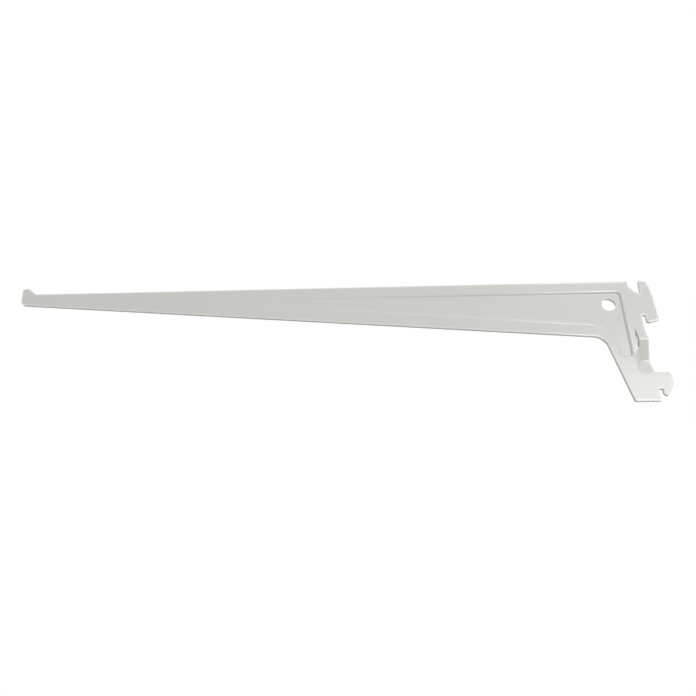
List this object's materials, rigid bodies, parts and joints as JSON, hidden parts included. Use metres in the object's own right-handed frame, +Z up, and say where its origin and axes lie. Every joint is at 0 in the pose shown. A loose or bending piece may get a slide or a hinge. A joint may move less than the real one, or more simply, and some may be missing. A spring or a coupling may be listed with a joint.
{
  "type": "slotted shelf bracket",
  "caption": "Stamped steel shelf bracket that hooks into a slotted upright, with a tapering arm, a shelf stop at its nose, an embossed stiffening panel and a fixing hole",
  "frame": {"origin": "Front face of the slotted upright, at the level of the shelf seat, in the middle of the sheet's thickness", "axes": "+X points back through the upright's slots, the arm runs along -X, -Y is the side that the panel is pressed in from, +Z is up"},
  "size_m": [0.4233, 0.0069, 0.088],
  "materials": {
    "painted_sheet": "semi-gloss white powder coat"
  },
  "bodies": {
    "root": {"bracket": "painted_sheet"}
  },
  "joints": []
}
